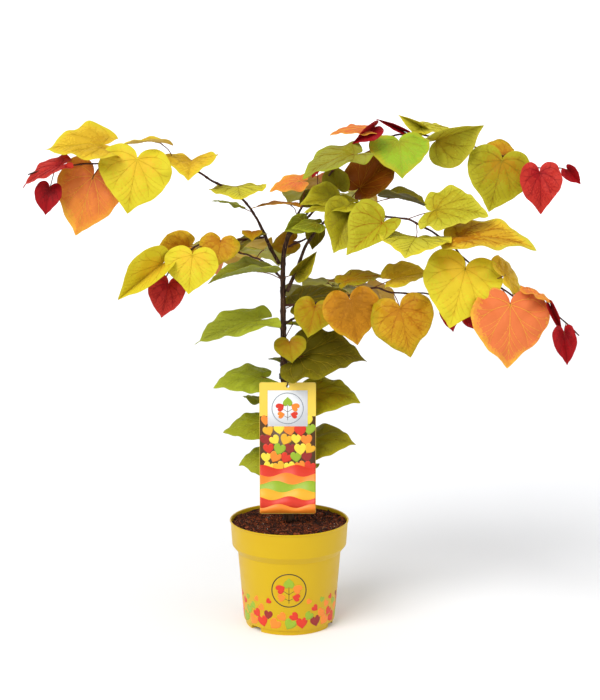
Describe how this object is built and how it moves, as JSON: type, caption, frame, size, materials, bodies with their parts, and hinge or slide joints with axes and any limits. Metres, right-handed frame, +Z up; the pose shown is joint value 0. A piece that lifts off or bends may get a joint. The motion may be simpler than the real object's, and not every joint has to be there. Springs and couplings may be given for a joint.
{
  "type": "potted young redbud tree",
  "caption": "Young redbud with a slim upright stem and arching sprays of heart-shaped autumn leaves, growing in a round plastic nursery pot with a hang tag.",
  "frame": {"origin": "centre of the pot's flat underside", "axes": "+Z up along the pot's axis and the trunk, -Y towards the viewer of the hang tag, +X to that viewer's right"},
  "size_m": [0.8584, 0.4913, 0.8076],
  "materials": {
    "pot": "satin",
    "soil": "matte",
    "bark": "matte",
    "leaves_green": "matte",
    "leaves_lime": "matte",
    "leaves_gold": "matte",
    "leaves_orange": "matte",
    "card": "satin",
    "tie": "satin"
  },
  "bodies": {
    "root": {"pot": "pot", "soil": "soil", "trunk": "bark", "bough_left": "bark", "bough_right": "bark", "spray_left_high": "leaves_gold", "spray_left_middle": "leaves_gold", "spray_right_low": "leaves_gold", "spray_right_middle": "leaves_lime", "spray_right_high": "leaves_lime", "spray_top_middle": "leaves_orange", "spray_centre": "leaves_green", "spray_back_left": "leaves_lime", "spray_back_right": "leaves_lime", "spray_back_high": "leaves_gold", "trunk_leaf_1": "leaves_green", "trunk_leaf_2": "leaves_green", "trunk_leaf_3": "leaves_green", "trunk_leaf_4": "leaves_green", "trunk_leaf_5": "leaves_green", "trunk_leaf_6": "leaves_lime", "trunk_leaf_7": "leaves_green", "trunk_leaf_8": "leaves_green", "trunk_leaf_9": "leaves_green", "trunk_leaf_10": "leaves_green", "trunk_leaf_11": "leaves_green", "trunk_leaf_12": "leaves_green", "trunk_leaf_13": "leaves_green", "trunk_leaf_14": "leaves_green", "trunk_leaf_15": "leaves_green", "hang_tag": "card", "tag_tie": "tie"}
  },
  "joints": []
}
